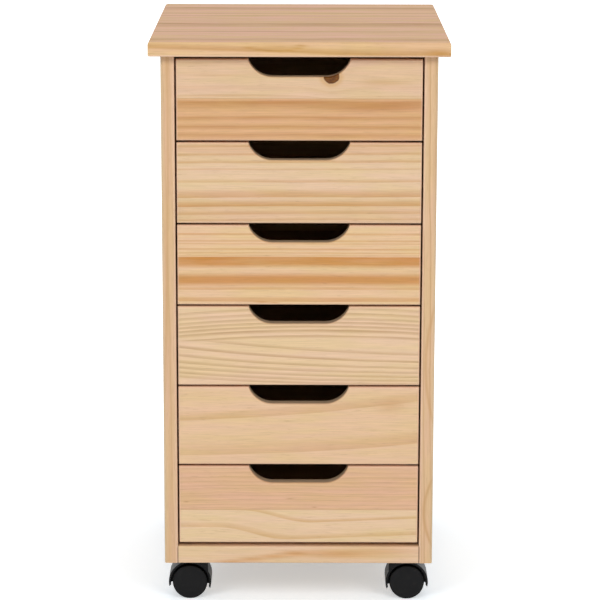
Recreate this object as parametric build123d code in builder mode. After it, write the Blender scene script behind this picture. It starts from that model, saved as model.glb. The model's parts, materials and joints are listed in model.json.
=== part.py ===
from build123d import *

import math
import os

# Rolling drawer cart in solid pine: a case on four twin-wheel casters, with six drawers on wooden runners.
# The front faces -Y and +Z is up. The origin is on the floor, under the centre of the top panel.

# Case: two side panels housed in a top that overhangs them, two flat rails and a thin back
case_width = 304.0
case_depth = 364.0
panel_thickness = 15.0
panel_ease = 1.5
top_thickness = 16.0
top_overhang = 13.0
top_round = 3.0
top_ease = 0.8
top_housing = 4.0
rail_thickness = 20.0
rail_depth = 90.0
rail_ease = 1.0
tenon_length = 6.0
tenon_thickness = 10.0
tenon_shoulder = 15.0
tenon_clearance = 0.1
back_thickness = 4.0
back_rebate_width = 8.0
back_edge_clearance = 0.3

# Drawers: inset fronts with a finger cut-out, a box behind each, and a groove that rides on the runner
drawer_count = 6
drawer_stop_clearance = 0.3
front_height = 89.9
front_thickness = 15.0
front_ease = 1.2
front_side_gap = 2.0
front_between_gap = 2.4
front_top_gap = 4.0
front_bottom_gap = 4.6
front_rebate_depth = 8.0
cutout_flat = 58.0
cutout_radius = 28.5
cutout_depth = 19.5
box_side_thickness = 12.0
box_side_height = 72.0
box_side_lift = 6.0
box_back_thickness = 12.0
box_bottom_thickness = 3.0
box_bottom_lift = 8.0
box_groove_depth = 5.0
box_groove_clearance = 0.2

# Runners: strips let into the side panels, held in the drawer's groove
runner_height = 12.0
runner_front_setback = 22.0
runner_back_setback = 18.0
runner_housing = 4.0
runner_engagement = 6.0
runner_top_clearance = 0.3
runner_under_clearance = 0.9
runner_side_clearance = 0.5
runner_chamfer = 1.5

# Casters: a plate with a kingpin under the rail, a hood that swivels on it, an axle and two wheels
caster_inset_side = 42.0
caster_inset_end = 52.0
caster_trail = 15.0
plate_size = 38.0
plate_thickness = 2.5
plate_corner = 4.0
kingpin_radius = 4.0
kingpin_length = 23.0
kingpin_clearance = 0.05
swivel_gap = 0.3
hood_wall = 2.3
hood_well_clearance = 2.2
hood_web = 13.0
hood_boss_reach = 9.5
hood_boss_heel = 6.0
hood_boss_rise = 6.7
hood_boss_bevel = 6.0
claw_outer_dip = 13.5
claw_inner_dip = 19.0
claw_taper = 4.5
axle_radius = 2.5
axle_clearance = 0.05
axle_end_clearance = 0.3
wheel_radius = 20.0
wheel_width = 11.1
wheel_side_clearance = 0.4
wheel_face = 2.6
wheel_proud = 0.5

# Levels and reaches that follow from those sizes
hood_inner_radius = wheel_radius + hood_well_clearance
hood_outer_radius = hood_inner_radius + hood_wall
hood_top = wheel_radius + hood_outer_radius + hood_boss_rise
case_bottom = hood_top + swivel_gap + plate_thickness
rail_top = case_bottom + rail_thickness
front_pitch = front_height + front_between_gap
opening_height = (
    front_top_gap + drawer_count * front_pitch - front_between_gap + front_bottom_gap
)
top_underside = rail_top + opening_height
case_front = -case_depth / 2
case_back = case_depth / 2
case_height = top_underside - case_bottom
opening_width = case_width - 2 * panel_thickness
back_face = case_back - back_thickness
front_width = opening_width - 2 * front_side_gap
front_rear_face = case_front + front_thickness
front_rebate_face = front_rear_face - front_rebate_depth
box_back = back_face - drawer_stop_clearance
box_inner_width = front_width - 2 * box_side_thickness
box_bottom_width = box_inner_width + 2 * (box_groove_depth - box_groove_clearance)
box_groove_height = box_bottom_thickness + box_groove_clearance
runner_thickness = runner_housing + front_side_gap + runner_engagement
runner_front = case_front + runner_front_setback
runner_length = back_face - runner_back_setback - runner_front
runner_middle = runner_front + runner_length / 2
swivel_x = case_width / 2 - caster_inset_side
swivel_y = case_depth / 2 - caster_inset_end
wheel_inner = hood_web / 2 + wheel_side_clearance
wheel_outer = wheel_inner + wheel_width
hood_half_width = wheel_outer - wheel_proud

hands = {"left": -1, "right": 1}
rail_middles = {"front": case_front + rail_depth / 2, "rear": back_face - rail_depth / 2}
drawers = range(1, drawer_count + 1)
casters = {
    "front_left": (-swivel_x, -swivel_y),
    "front_right": (swivel_x, -swivel_y),
    "rear_left": (-swivel_x, swivel_y),
    "rear_right": (swivel_x, swivel_y),
}

os.makedirs("parts", exist_ok=True)


def write(piece, node):
    """Labels a finished piece and writes it under its node's name."""
    piece.label = node
    export_step(piece, f"parts/{node}.step")


def front_bottom(number):
    """Height of the lower edge of a drawer's front. Drawer 1 is the top one."""
    return top_underside - front_top_gap - front_height - (number - 1) * front_pitch


def runner_level(number):
    """Height of the middle of a drawer's runners, half way up the drawer's sides."""
    return front_bottom(number) + box_side_lift + box_side_height / 2


# Top panel: a glued-up board, rounded along the front and sides, with a stopped groove over each side
with BuildPart() as top_panel:
    with BuildSketch(Plane.XY.offset(top_underside)):
        Rectangle(case_width + 2 * top_overhang, case_depth + 2 * top_overhang)
    extrude(amount=top_thickness)
    upper_edges = top_panel.faces().sort_by(Axis.Z)[-1].edges()
    fillet(upper_edges.sort_by(Axis.Y)[:-1], top_round)
    chamfer(top_panel.faces().sort_by(Axis.Z)[0].edges(), top_ease)
    with BuildSketch(Plane.XY.offset(top_underside)):
        with GridLocations(case_width - panel_thickness, 0, 2, 1):
            Rectangle(panel_thickness, case_depth)
    extrude(amount=top_housing, mode=Mode.SUBTRACT)
write(top_panel.part, "top_panel")


# Side panels: a board each, rebated for the back, grooved for the runners and mortised for the rails
for side_name, hand in hands.items():
    inner_face = Plane.YZ.offset(hand * opening_width / 2)
    with BuildPart() as side_panel:
        with BuildSketch(Plane.XY.offset(case_bottom)):
            with Locations((hand * (case_width - panel_thickness) / 2, 0)):
                Rectangle(panel_thickness, case_depth)
        extrude(amount=case_height + top_housing)
        with BuildSketch(Plane.XY.offset(case_bottom)):
            rebate_middle = hand * (opening_width + back_rebate_width) / 2
            with Locations((rebate_middle, case_back - back_thickness / 2)):
                Rectangle(back_rebate_width, back_thickness)
        extrude(amount=case_height, mode=Mode.SUBTRACT)
        front_edges = side_panel.edges().filter_by(Axis.Z).group_by(Axis.Y)[0]
        chamfer(front_edges, panel_ease)
        with BuildSketch(inner_face):
            with Locations(*[(runner_middle, runner_level(number)) for number in drawers]):
                Rectangle(runner_length, runner_height)
        extrude(amount=hand * runner_housing, mode=Mode.SUBTRACT)
        with BuildSketch(inner_face):
            tenon_level = case_bottom + rail_thickness / 2
            with Locations(*[(middle, tenon_level) for middle in rail_middles.values()]):
                Rectangle(
                    rail_depth - 2 * (tenon_shoulder - tenon_clearance),
                    tenon_thickness + 2 * tenon_clearance,
                )
        extrude(amount=hand * (tenon_length + tenon_clearance), mode=Mode.SUBTRACT)
    write(side_panel.part, f"{side_name}_side_panel")


# Bottom rails: boards laid flat and tenoned into the sides, which carry the casters
for rail_name, rail_middle in rail_middles.items():
    with BuildPart() as rail:
        with BuildSketch(Plane.XY.offset(case_bottom)):
            with Locations((0, rail_middle)):
                Rectangle(opening_width, rail_depth)
        extrude(amount=rail_thickness)
        chamfer(rail.edges().filter_by(Axis.X).group_by(Axis.Y)[0], rail_ease)
        with BuildSketch(Plane.XY.offset(case_bottom + rail_thickness / 2)):
            with Locations((0, rail_middle)):
                Rectangle(opening_width + 2 * tenon_length, rail_depth - 2 * tenon_shoulder)
        extrude(amount=tenon_thickness / 2, both=True)
    write(rail.part, f"{rail_name}_bottom_rail")


# Back panel: thin plywood in the rebates of the side panels
with BuildPart() as back_panel:
    with BuildSketch(Plane.XZ.offset(-back_face)):
        with Locations((0, case_bottom + case_height / 2)):
            Rectangle(
                opening_width + 2 * (back_rebate_width - back_edge_clearance),
                case_height - 2 * back_edge_clearance,
            )
    extrude(amount=-back_thickness)
write(back_panel.part, "back_panel")


# Drawer runners: hardwood strips glued into the side panels, chamfered where the drawer meets them
for side_name, hand in hands.items():
    with BuildPart() as runners:
        with BuildSketch(Plane.YZ.offset(hand * (opening_width / 2 + runner_housing))):
            with Locations(*[(runner_middle, runner_level(number)) for number in drawers]):
                Rectangle(runner_length, runner_height)
        extrude(amount=-hand * runner_thickness)
        riding_faces = runners.faces().filter_by(Axis.X).group_by(Axis.X)
        nearest_middle = riding_faces[0] if hand > 0 else riding_faces[-1]
        chamfer(nearest_middle.edges(), runner_chamfer)
    write(runners.part, f"{side_name}_drawer_runners")


def drawer_front(number):
    """A solid pine front, rebated for the sides, with a finger cut-out in the middle of the upper edge."""
    low = front_bottom(number)
    high = low + front_height
    cutout_low = high - cutout_depth
    cutout_half = cutout_flat / 2 + math.sqrt(
        cutout_radius**2 - (cutout_radius - cutout_depth) ** 2
    )
    with BuildPart() as front:
        with BuildSketch(Plane.XZ.offset(-case_front)):
            with Locations((0, (low + high) / 2)):
                Rectangle(front_width, front_height)
            with BuildLine():
                floor = Line((-cutout_flat / 2, cutout_low), (cutout_flat / 2, cutout_low))
                right = RadiusArc(floor @ 1, (cutout_half, high), -cutout_radius)
                left = RadiusArc((-cutout_half, high), floor @ 0, -cutout_radius)
                Line(right @ 1, left @ 0)
            make_face(mode=Mode.SUBTRACT)
        extrude(amount=-front_thickness)
        chamfer(front.faces().sort_by(Axis.Y)[0].edges(), front_ease)
        with BuildSketch(Plane.XZ.offset(-front_rear_face)):
            with Locations((0, (low + high) / 2)):
                with GridLocations(front_width - box_side_thickness, 0, 2, 1):
                    Rectangle(box_side_thickness, front_height)
        extrude(amount=front_rebate_depth, mode=Mode.SUBTRACT)
        groove_middle = low + box_side_lift + box_bottom_lift + box_groove_height / 2
        with BuildSketch(Plane.XZ.offset(-front_rear_face)):
            with Locations((0, groove_middle)):
                Rectangle(box_inner_width, box_groove_height)
        extrude(amount=box_groove_depth, mode=Mode.SUBTRACT)
    return front.part


def drawer_side(number, hand):
    """A side of the drawer's box, with the runner's groove outside and the bottom's groove inside."""
    low = front_bottom(number) + box_side_lift
    outer = hand * front_width / 2
    inner = hand * box_inner_width / 2
    runner_groove_low = runner_level(number) - runner_height / 2 - runner_under_clearance
    runner_groove_high = runner_level(number) + runner_height / 2 + runner_top_clearance
    runner_groove_depth = runner_engagement + runner_side_clearance
    bottom_groove_middle = low + box_bottom_lift + box_groove_height / 2
    with BuildPart() as side:
        with BuildSketch(Plane.XZ.offset(-front_rebate_face)):
            with Locations(((outer + inner) / 2, low + box_side_height / 2)):
                Rectangle(box_side_thickness, box_side_height)
            runner_groove_middle = (runner_groove_low + runner_groove_high) / 2
            with Locations((outer - hand * runner_groove_depth / 2, runner_groove_middle)):
                Rectangle(
                    runner_groove_depth,
                    runner_groove_high - runner_groove_low,
                    mode=Mode.SUBTRACT,
                )
            with Locations((inner + hand * box_groove_depth / 2, bottom_groove_middle)):
                Rectangle(box_groove_depth, box_groove_height, mode=Mode.SUBTRACT)
        extrude(amount=front_rebate_face - box_back)
    return side.part


def drawer_back(number):
    """The back of the drawer's box, between the sides and standing on the bottom."""
    low = front_bottom(number) + box_side_lift + box_bottom_lift + box_bottom_thickness
    high = front_bottom(number) + box_side_lift + box_side_height
    with BuildPart() as back:
        with BuildSketch(Plane.XZ.offset(-box_back)):
            with Locations((0, (low + high) / 2)):
                Rectangle(box_inner_width, high - low)
        extrude(amount=box_back_thickness)
    return back.part


def drawer_bottom(number):
    """A thin plywood bottom, slid into the grooves from behind and running under the back."""
    low = front_bottom(number) + box_side_lift + box_bottom_lift
    start = front_rear_face - box_groove_depth + box_groove_clearance
    with BuildPart() as bottom:
        with BuildSketch(Plane.XY.offset(low)):
            with Locations((0, (front_rear_face + box_back) / 2)):
                Rectangle(box_bottom_width, box_back - front_rear_face)
            with Locations((0, (start + front_rear_face) / 2)):
                Rectangle(box_inner_width, front_rear_face - start)
        extrude(amount=box_bottom_thickness)
    return bottom.part


for drawer in drawers:
    write(drawer_front(drawer), f"drawer_{drawer}_front")
    write(drawer_side(drawer, hands["left"]), f"drawer_{drawer}_left_side")
    write(drawer_side(drawer, hands["right"]), f"drawer_{drawer}_right_side")
    write(drawer_back(drawer), f"drawer_{drawer}_back")
    write(drawer_bottom(drawer), f"drawer_{drawer}_bottom")


# Caster plates: pressed steel squares with clipped corners, screwed up under the rails
with BuildPart() as caster_plates:
    with BuildSketch(Plane.XY.offset(case_bottom - plate_thickness)):
        with Locations(*casters.values()):
            plate = Rectangle(plate_size, plate_size)
        chamfer(plate.vertices(), plate_corner)
    extrude(amount=plate_thickness)
write(caster_plates.part, "caster_plates")

# Kingpins: steel pins riveted to the middle of the plates, which the hoods swivel on
with BuildPart() as caster_kingpins:
    with BuildSketch(Plane.XY.offset(case_bottom - plate_thickness)):
        with Locations(*casters.values()):
            Circle(kingpin_radius)
    extrude(amount=-kingpin_length)
write(caster_kingpins.part, "caster_kingpins")


def around_axle(radius, degrees):
    """A point on a circle about the axle, counted from the outward horizontal and over the top."""
    turn = math.radians(degrees)
    return (radius * math.cos(turn), radius * math.sin(turn))


def caster_side_view(swivel, outward):
    """The upright plane through a caster's axle, seen with the outward side on its +X."""
    x, y = swivel
    axle = (x + outward * caster_trail, y, wheel_radius)
    return Plane(axle, x_dir=(outward, 0, 0), z_dir=(0, -outward, 0))


def caster_hood(swivel, outward):
    """The moulded hood: a fender over both wheels, a web between them and a boss round the kingpin."""
    side_view = caster_side_view(swivel, outward)
    boss_top = hood_top - wheel_radius
    boss_outer = hood_boss_reach - caster_trail
    boss_inner = -hood_boss_heel - caster_trail
    boss_corner = math.hypot(boss_outer, boss_top)
    fender_end = math.degrees(
        math.atan2(boss_top, boss_outer) - math.acos(hood_outer_radius / boss_corner)
    )
    heel_start = math.degrees(math.acos(boss_inner / hood_outer_radius))
    heel_end = 180 + claw_inner_dip
    outer_tip = around_axle(hood_outer_radius, -claw_outer_dip)
    outer_root = around_axle(hood_inner_radius, claw_taper - claw_outer_dip)
    inner_tip = around_axle(hood_outer_radius, heel_end)
    inner_root = around_axle(hood_inner_radius, heel_end - claw_taper)
    with BuildPart() as hood:
        with BuildSketch(side_view):
            with BuildLine():
                fender = ThreePointArc(
                    outer_tip,
                    around_axle(hood_outer_radius, (fender_end - claw_outer_dip) / 2),
                    around_axle(hood_outer_radius, fender_end),
                )
                Polyline(
                    fender @ 1,
                    (boss_outer, boss_top),
                    (boss_inner, boss_top),
                    around_axle(hood_outer_radius, heel_start),
                )
                ThreePointArc(
                    around_axle(hood_outer_radius, heel_start),
                    around_axle(hood_outer_radius, (heel_start + heel_end) / 2),
                    inner_tip,
                )
                Polyline(inner_tip, inner_root, outer_root, outer_tip)
            make_face()
        extrude(amount=hood_half_width, both=True)
        boss_edges = hood.edges().filter_by(Axis.X).group_by(Axis.Z)[-1]
        chamfer(boss_edges, hood_boss_bevel)
        for well_side in (-1, 1):
            with BuildSketch(side_view.offset(well_side * hood_web / 2)):
                Circle(hood_inner_radius)
            extrude(amount=well_side * hood_half_width, mode=Mode.SUBTRACT)
        with BuildSketch(side_view):
            Circle(axle_radius)
        extrude(amount=hood_half_width, both=True, mode=Mode.SUBTRACT)
        with BuildSketch(Plane.XY.offset(hood_top)):
            with Locations(swivel):
                Circle(kingpin_radius + kingpin_clearance)
        extrude(amount=-kingpin_length, mode=Mode.SUBTRACT)
    return hood.part


def caster_axle(swivel, outward):
    """A steel pin, pressed through the hood's web, with a wheel on each end."""
    with BuildPart() as axle:
        with BuildSketch(caster_side_view(swivel, outward)):
            Circle(axle_radius)
        extrude(amount=wheel_outer - wheel_face - axle_end_clearance, both=True)
    return axle.part


def caster_wheel(swivel, outward, end):
    """A moulded wheel with a plain outer face and a blind bore that turns on the axle."""
    side_view = caster_side_view(swivel, outward)
    bore_radius = axle_radius + axle_clearance
    section = Plane(side_view.origin, x_dir=(0, end, 0), z_dir=(end, 0, 0))
    with BuildPart() as wheel:
        with BuildSketch(section):
            with BuildLine():
                Polyline(
                    (wheel_outer, 0),
                    (wheel_outer, wheel_radius),
                    (wheel_inner, wheel_radius),
                    (wheel_inner, bore_radius),
                    (wheel_outer - wheel_face, bore_radius),
                    (wheel_outer - wheel_face, 0),
                    close=True,
                )
            make_face()
        revolve(axis=Axis(side_view.origin, (0, 1, 0)))
    return wheel.part


for place, swivel in casters.items():
    outward = math.copysign(1, swivel[0])
    write(caster_hood(swivel, outward), f"{place}_caster_hood")
    write(caster_axle(swivel, outward), f"{place}_caster_axle")
    write(caster_wheel(swivel, outward, -1), f"{place}_caster_front_wheel")
    write(caster_wheel(swivel, outward, 1), f"{place}_caster_rear_wheel")
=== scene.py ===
import json
import math

import bmesh
import bpy
from mathutils import Matrix, Vector


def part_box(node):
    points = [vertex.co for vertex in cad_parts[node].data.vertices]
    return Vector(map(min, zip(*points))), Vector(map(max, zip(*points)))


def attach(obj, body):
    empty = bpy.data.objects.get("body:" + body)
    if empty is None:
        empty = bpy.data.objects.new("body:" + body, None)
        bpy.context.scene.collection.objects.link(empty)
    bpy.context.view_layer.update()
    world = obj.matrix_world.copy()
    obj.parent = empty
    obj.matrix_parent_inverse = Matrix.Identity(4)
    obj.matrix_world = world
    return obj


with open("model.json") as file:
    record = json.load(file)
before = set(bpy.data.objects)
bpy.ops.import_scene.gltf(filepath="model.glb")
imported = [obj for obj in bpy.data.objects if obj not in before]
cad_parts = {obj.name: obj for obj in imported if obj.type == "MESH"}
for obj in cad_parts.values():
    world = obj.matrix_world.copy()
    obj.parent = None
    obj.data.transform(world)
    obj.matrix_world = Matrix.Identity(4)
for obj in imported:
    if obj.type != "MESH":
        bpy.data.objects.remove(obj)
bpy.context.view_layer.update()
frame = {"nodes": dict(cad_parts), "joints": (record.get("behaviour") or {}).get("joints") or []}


# Side panels: two upright boards, each glued up edge to edge from pine staves that run up the cart.
# They are planed, sanded and sealed with a clear satin lacquer, and the top, rails and runners are
# let into them and glued.
MM_PER_METRE = 1000.0
SEED_STRIDE = (17.3, 9.1, 5.7)


class Finish:
    """One procedural finish, put together node by node."""

    def __init__(self, name):
        self.material = bpy.data.materials.new(name)
        self.material.use_nodes = True
        self.tree = self.material.node_tree
        self.shader = self.tree.nodes["Principled BSDF"]
        self.place = self.tree.nodes.new("ShaderNodeTexCoord").outputs["Object"]

    def feed(self, socket, value):
        """Joins a socket to another one, or sets its plain value."""
        if isinstance(value, bpy.types.NodeSocket):
            self.tree.links.new(value, socket)
        else:
            socket.default_value = value

    def node(self, kind, inputs, **settings):
        """A new node with its settings, fed from values or other nodes."""
        made = self.tree.nodes.new(kind)
        for setting, value in settings.items():
            setattr(made, setting, value)
        for socket, value in inputs.items():
            self.feed(made.inputs[socket], value)
        return made

    def calc(self, operation, first, second=0.0, third=0.0):
        """A number worked out from up to three others."""
        values = {0: first, 1: second, 2: third}
        return self.node("ShaderNodeMath", values, operation=operation).outputs[0]

    def add(self, *values):
        """The sum of several numbers."""
        total = values[0]
        for value in values[1:]:
            total = self.calc("ADD", total, value)
        return total

    def times(self, *values):
        """The product of several numbers."""
        total = values[0]
        for value in values[1:]:
            total = self.calc("MULTIPLY", total, value)
        return total

    def span(self, value, low, high, out_low=0.0, out_high=1.0):
        """A number carried smoothly from one range to another, and held at its ends."""
        inputs = {"Value": value, 1: low, 2: high, 3: out_low, 4: out_high}
        return self.node("ShaderNodeMapRange", inputs, interpolation_type="SMOOTHSTEP").outputs[0]

    def split(self, place):
        """The three coordinates of a place."""
        return self.node("ShaderNodeSeparateXYZ", {0: place}).outputs

    def bell(self, value, middle, width):
        """One at the middle, falling off to nothing on both sides."""
        away = self.times(self.add(value, -middle), 1 / width)
        return self.calc("EXPONENT", self.times(away, away, -1.0))

    def noise(self, place, size, seed, detail=2.0):
        """Soft noise from 0 to 1, with features of a given size along, across and into the board."""
        scale = tuple(1 / length for length in size)
        offset = tuple(seed * stride for stride in SEED_STRIDE)
        laid = self.node("ShaderNodeMapping", {"Vector": place, "Scale": scale, "Location": offset})
        inputs = {"Vector": laid.outputs[0], "Scale": 1.0, "Detail": detail}
        return self.node("ShaderNodeTexNoise", inputs).outputs[0]

    def chance(self, number):
        """Three even random numbers that belong to a whole number."""
        drawn = self.node("ShaderNodeTexWhiteNoise", {"W": number}, noise_dimensions="1D")
        return self.split(drawn.outputs["Color"])

    def grade(self, value, stops):
        """A graded strip of greys, from stops of place and strength."""
        ramp = self.node("ShaderNodeValToRGB", {0: value})
        elements = ramp.color_ramp.elements
        while len(elements) < len(stops):
            elements.new(1.0)
        for element, (position, strength) in zip(elements, stops):
            element.position = position
            element.color = (strength, strength, strength, 1.0)
        return ramp.outputs[0]

    def colour(self, value):
        """A colour with its alpha, where it is plain numbers."""
        return value if isinstance(value, bpy.types.NodeSocket) else (*value, 1.0)

    def mix(self, share, low, high, mode="MIX"):
        """One colour laid over another."""
        inputs = {0: share, 6: self.colour(low), 7: self.colour(high)}
        return self.node("ShaderNodeMix", inputs, data_type="RGBA", blend_type=mode).outputs[2]

    def cover(self, colour, roughness, relief, depth):
        """Puts the colour, the roughness and the relief, in metres, on the surface."""
        self.feed(self.shader.inputs["Base Color"], colour)
        self.feed(self.shader.inputs["Roughness"], roughness)
        bump = self.node("ShaderNodeBump", {"Height": relief, "Distance": depth, "Strength": 1.0})
        self.feed(self.shader.inputs["Normal"], bump.outputs[0])


def in_board(finish, node, axes):
    """Millimetres in a board: along the grain from its middle, across it and into it from its corner."""
    low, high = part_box(node)
    along = "xyz".index(axes[0])
    corner = low.copy()
    corner[along] = (low + high)[along] / 2
    shifted = finish.node("ShaderNodeVectorMath", {0: finish.place, 1: tuple(corner)}, operation="SUBTRACT")
    inputs = {0: shifted.outputs[0], "Scale": MM_PER_METRE}
    scaled = finish.node("ShaderNodeVectorMath", inputs, operation="SCALE")
    parts = finish.split(scaled.outputs[0])
    turned = {socket: parts["xyz".index(axis)] for socket, axis in enumerate(axes)}
    return finish.node("ShaderNodeCombineXYZ", turned).outputs[0]


STAVE_WIDTH = 73.0
STAVE_STEPS = (900.0, 700.0, 300.0)
STAVE_SLOPE = 0.025
HEART_SPREAD = 24.0
HEART_OFFSET = 48.0
ARCH_WIDTH = 22.0
ARCH_STRETCH = 7.0
FLAT_SAWN_ABOVE = 0.45
GLUE_LINE = 0.5


def in_staves(finish, place, seed):
    """Gives each stave of a glued-up panel its own piece of the tree, some of them flat-sawn into arches."""
    along, across, deep = finish.split(place)
    counted = finish.times(across, 1 / STAVE_WIDTH)
    stave = finish.calc("FLOOR", counted)
    luck = finish.chance(finish.add(stave, seed))
    slope = finish.span(luck[2], 0.0, 1.0, -STAVE_SLOPE, STAVE_SLOPE)
    moved = {
        0: finish.add(along, finish.times(luck[0], STAVE_STEPS[0])),
        1: finish.add(across, finish.times(luck[1], STAVE_STEPS[1]), finish.times(along, slope)),
        2: finish.add(deep, finish.times(luck[2], STAVE_STEPS[2])),
    }
    in_stave = finish.add(across, finish.times(stave, -STAVE_WIDTH))
    off_heart = finish.add(in_stave, finish.times(luck[1], HEART_SPREAD), -HEART_OFFSET)
    rounded = finish.times(off_heart, off_heart, 1 / ARCH_WIDTH)
    arch = finish.add(rounded, finish.times(along, slope, ARCH_STRETCH))
    behind_front = finish.calc("GREATER_THAN", stave, 0.5)
    flat_sawn = finish.times(finish.calc("GREATER_THAN", luck[0], FLAT_SAWN_ABOVE), behind_front)
    arches = finish.times(flat_sawn, finish.add(arch, finish.times(moved[1], -1.0)))
    from_edge = finish.calc("PINGPONG", counted, 0.5)
    glue = finish.span(finish.times(from_edge, STAVE_WIDTH), 0.0, GLUE_LINE, 1.0, 0.0)
    return finish.node("ShaderNodeCombineXYZ", moved).outputs[0], arches, glue, luck[1]


RING_PROFILE = [(0.0, 0.3), (0.06, 0.0), (0.45, 0.08), (0.75, 0.4), (0.93, 1.0), (0.97, 0.95), (1.0, 0.3)]
RING_SEED_STEP = 31.0
FAINTEST_RING = 0.35
SPELL_RATE = 0.3
SPELL_SHIFT = 2.4


def year_rings(finish, grain, ring, seed):
    """Growth rings in good and bad spells: each darkens slowly over its width and ends sharply."""
    inputs = {"W": finish.times(grain, SPELL_RATE / ring), "Scale": 1.0}
    spell = finish.node("ShaderNodeTexNoise", inputs, noise_dimensions="1D").outputs[0]
    count = finish.add(finish.times(grain, 1 / ring), finish.times(spell, SPELL_SHIFT), seed * RING_SEED_STEP)
    luck = finish.chance(finish.calc("FLOOR", count))
    profile = finish.grade(finish.calc("FRACT", count), RING_PROFILE)
    return finish.times(profile, finish.span(luck[0], 0.0, 1.0, FAINTEST_RING, 1.0))


PALE_PINE = (0.855, 0.6, 0.372)
LATE_PINE = (0.58, 0.33, 0.14)


class Figure:
    """How the grain of one pine board looks: sizes in millimetres, strengths as shares of full dark."""

    pale = PALE_PINE
    late = LATE_PINE
    ring = 6.0  # width of a growth ring
    strength = 0.6  # darkness of the rings that fill the board
    bands = ()  # rings drawn where they are seen: start, end and strength
    reach = 100.0  # height up to which bands are drawn
    edge = 0.8  # width of a band's sharp end
    body = 0.55  # darkness inside a band
    fan = 0.0  # spread of the grain from one end of the board to the other
    lean = 0.0  # slope of the grain
    bow = 0.0  # curve of the grain
    drop = None  # a wave in the grain: depth, start, end, skew and the rise after it
    tilt = 0.8  # slope of the grain into the board
    wander = 1.5  # unevenness of the grain
    gain = (1.0, 1.0)  # darkness of the rings at the two ends
    fade = 0.78  # darkness of the rings where they are faint
    hue = 1.0  # strength of the yellow and pink tints
    marks = ()  # single dark marks: middle, height, half length, half height and share
    knot = None  # a knot: middle along, middle across and radius

    def __init__(self, seed, **chosen):
        self.seed = seed
        for name, value in chosen.items():
            setattr(self, name, value)


BANDS_IN_STRIP = 8
BAND_SHOULDER = 0.4


def placed_bands(finish, grain, figure):
    """Growth rings drawn where they are seen: each darkens to a sharp end."""
    darkest = 0.0
    for first in range(0, len(figure.bands), BANDS_IN_STRIP):
        stops = []
        for start, end, strength in figure.bands[first : first + BANDS_IN_STRIP]:
            past = end + math.copysign(figure.edge, end - start)
            inside = start + BAND_SHOULDER * (end - start)
            stops += [(start, 0.0), (inside, figure.body * strength), (end, strength), (past, 0.0)]
        shares = sorted((height / figure.reach, strength) for height, strength in stops)
        strip = finish.grade(finish.times(grain, 1 / figure.reach), shares)
        darkest = finish.calc("MAXIMUM", strip, darkest)
    return darkest


KNOT_LENGTH_SHARE = 0.85
KNOT_LUMPS = (5.0, 5.0, 8.0)
KNOT_RAGGED = 2.0
KNOT_RIM = 0.6
KNOT_BEND_REACH = 2.4


def round_knot(finish, place, knot):
    """A branch cut across: how far a point is into the knot and into the grain that bends round it."""
    middle_along, middle_across, radius = knot
    along, across, _ = finish.split(place)
    ahead = finish.times(finish.add(along, -middle_along), KNOT_LENGTH_SHARE)
    aside = finish.add(across, -middle_across)
    ragged = finish.noise(place, KNOT_LUMPS, radius)
    away = finish.calc("SQRT", finish.add(finish.times(ahead, ahead), finish.times(aside, aside)))
    away = finish.add(away, finish.times(ragged, KNOT_RAGGED), -KNOT_RAGGED / 2)
    inside = finish.span(away, radius - KNOT_RIM, radius + KNOT_RIM, 1.0, 0.0)
    bend = finish.bell(away, 0.0, KNOT_BEND_REACH * radius)
    return away, aside, inside, bend


NOISE_MIDDLE = 0.5
SWAY_SIZE = (150.0, 50.0, 50.0)
SWAY_SHARE = 2.0
SHIVER_SIZE = (28.0, 14.0, 14.0)
SHIVER_SHARE = 0.5


def grain_lines(finish, place, figure, arches):
    """Millimetres across the growth rings, which lean, bow and wander as the figure says."""
    along, across, deep = finish.split(place)
    sway = finish.add(finish.noise(place, SWAY_SIZE, figure.seed), -NOISE_MIDDLE)
    shiver = finish.add(finish.noise(place, SHIVER_SIZE, figure.seed + 1), -NOISE_MIDDLE)
    grain = finish.add(
        finish.times(across, finish.add(finish.times(along, figure.fan), 1.0)),
        finish.times(deep, figure.tilt),
        finish.times(along, figure.lean),
        finish.times(along, along, figure.bow),
        finish.times(sway, SWAY_SHARE * figure.wander),
        finish.times(shiver, SHIVER_SHARE * figure.wander),
        arches,
    )
    if figure.drop:
        depth, start, end, skew, rise = figure.drop
        later = finish.add(along, finish.times(across, -skew))
        past = finish.calc("MAXIMUM", finish.add(later, -end), 0.0)
        grain = finish.add(grain, finish.span(later, start, end, 0.0, depth), finish.times(past, -rise))
    return grain


WIDE_NOISE = (0.2, 0.8)
USUAL_NOISE = (0.25, 0.75)
NARROW_NOISE = (0.3, 0.7)
FADE_SIZE = (70.0, 9.0, 9.0)
FULL_RING = 1.08
GAIN_REACH = 130.0
BLUSH_SIZE = (90.0, 12.0, 12.0)
YELLOW_TINT = (-0.015, 0.0, -0.07)
PINK_TINT = (0.015, -0.015, 0.06)
FIBRE_SIZE = (30.0, 0.8, 0.8)
FIBRE_SHADE = (0.93, 1.05)
STREAK_SIZE = (16.0, 0.7, 0.7)
STREAK_PEAKS = (0.62, 0.74)
STREAK_SHARE = 0.3
RESIN = (0.4, 0.22, 0.1)
KNOT_PUSH = 0.85
KNOT_HALO = (0.6, 0.33, 0.1)
HALO_RADIUS = 9.0
HALO_WIDTH = 2.5
HALO_SHARE = 0.45
KNOT_FLECKS = (3.0, 2.0, 3.0)
KNOT_DARK = (0.09, 0.027, 0.003)
KNOT_LIGHT = (0.2, 0.07, 0.006)
RING_RELIEF = 0.5
FIBRE_RELIEF = 0.7
STREAK_RELIEF = -0.6


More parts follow.
